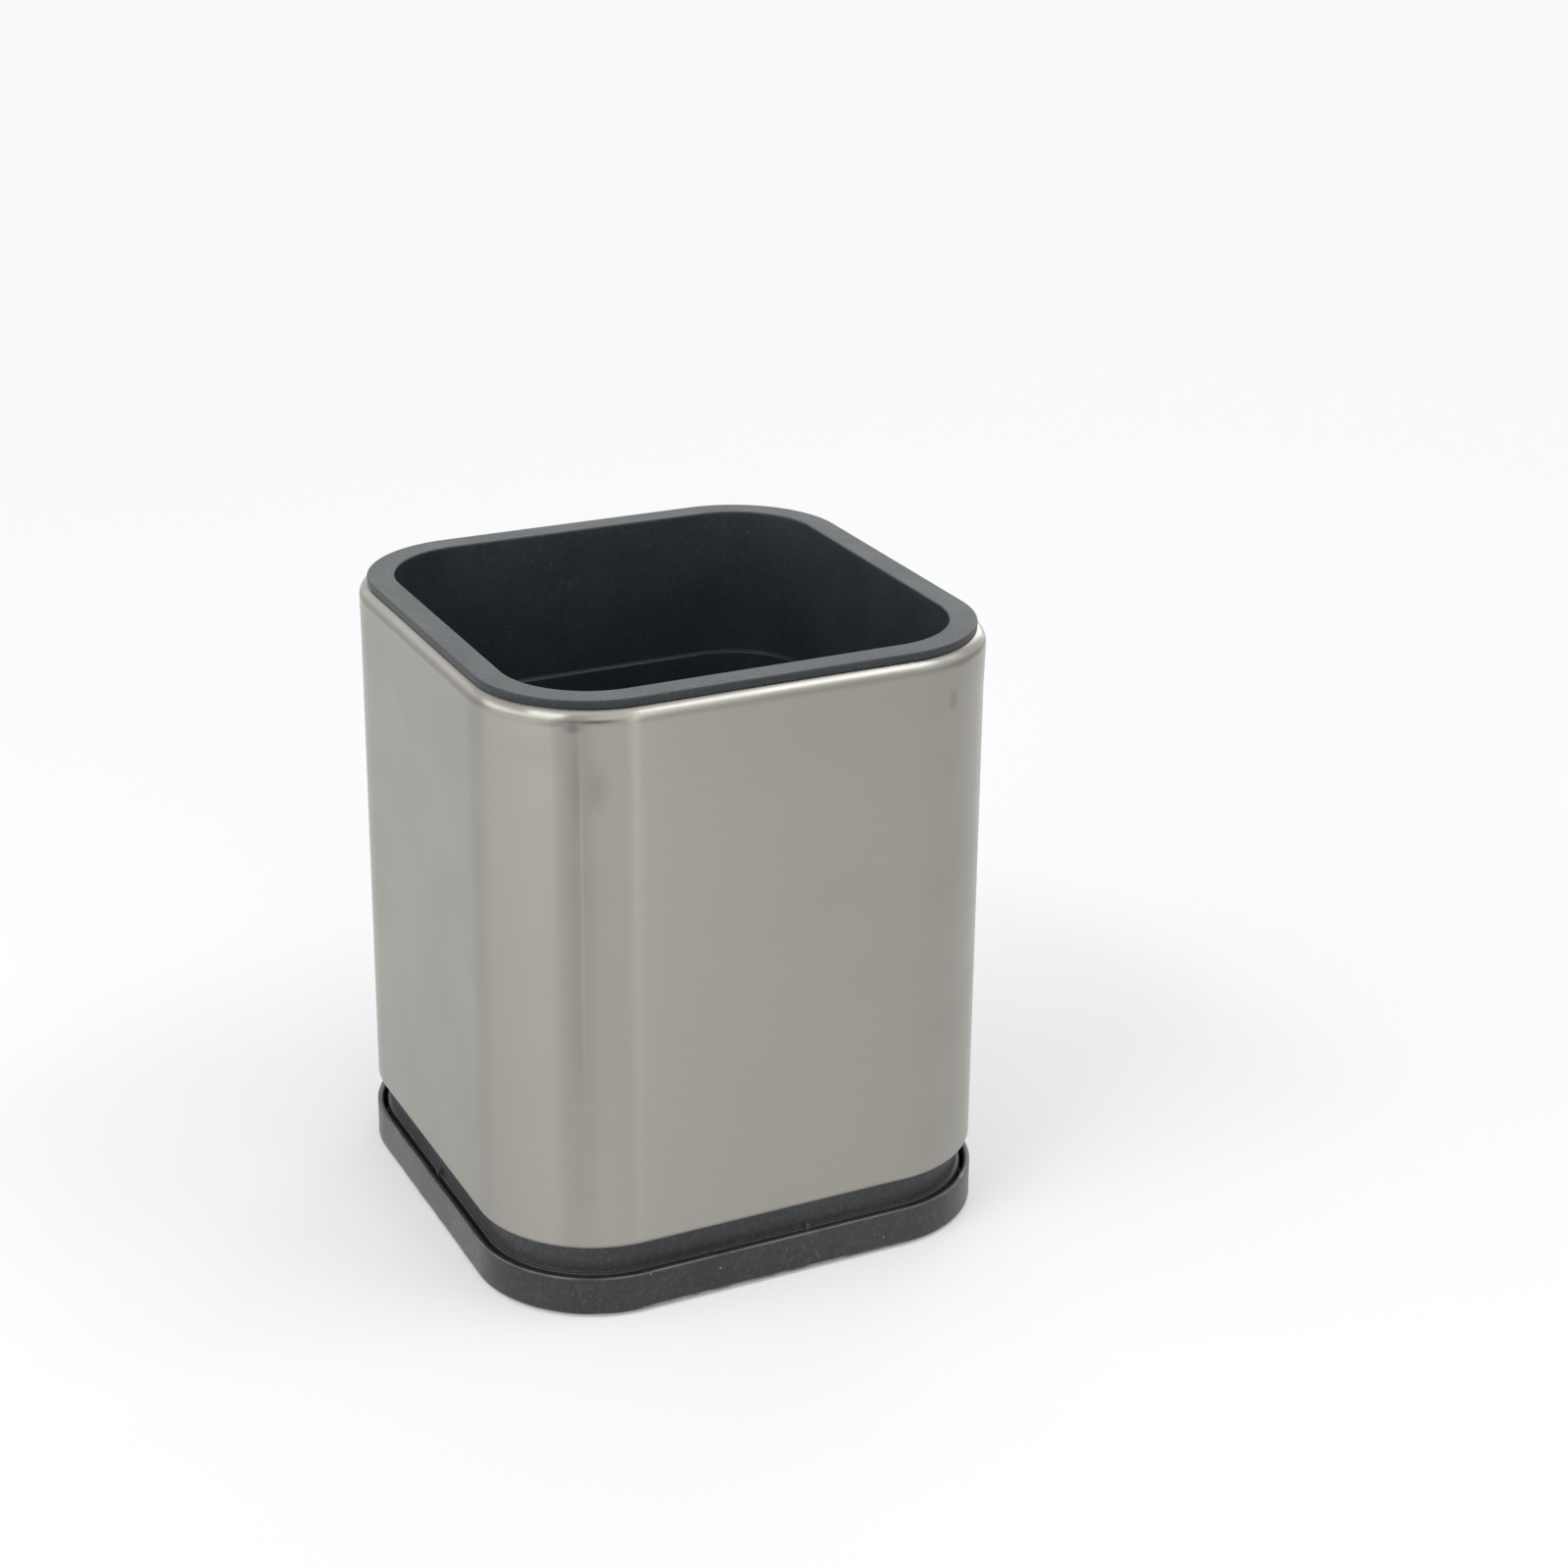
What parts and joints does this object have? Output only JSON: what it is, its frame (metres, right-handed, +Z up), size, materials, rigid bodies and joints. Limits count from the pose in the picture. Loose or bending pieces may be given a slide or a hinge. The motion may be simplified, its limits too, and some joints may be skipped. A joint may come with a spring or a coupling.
{
  "type": "cutlery holder",
  "caption": "Rounded square countertop cutlery holder: brushed steel sleeve with a rolled top edge, lift-out plastic liner with a drained floor, and a shallow drip tray.",
  "frame": {"origin": "on the worktop, under the middle of the drip tray", "axes": "+Z up; the front, which is the wider face seen in the picture, looks along -Y and +X is to its right"},
  "size_m": [0.1008, 0.1008, 0.1192],
  "materials": {
    "sleeve_steel": "satin, brushed round the sleeve, brighter on the rolled top edge",
    "liner_plastic": "fine matt, moulded, dark grey",
    "base_plastic": "satin, moulded, charcoal",
    "foot_rubber": "matt black"
  },
  "bodies": {
    "tray": {"drip_tray": "base_plastic", "foot_front_left": "foot_rubber", "foot_front_right": "foot_rubber", "foot_back_left": "foot_rubber", "foot_back_right": "foot_rubber"},
    "holder": {"base_collar": "base_plastic", "steel_sleeve": "sleeve_steel"},
    "liner": {"liner": "liner_plastic"}
  },
  "joints": [
    {"name": "holder_lift", "type": "slide", "parent": "tray", "child": "holder", "axis": [0, 0, 1], "range_m": [0, 0.03]},
    {"name": "liner_lift", "type": "slide", "parent": "holder", "child": "liner", "axis": [0, 0, 1], "range_m": [0, 0.115]}
  ]
}
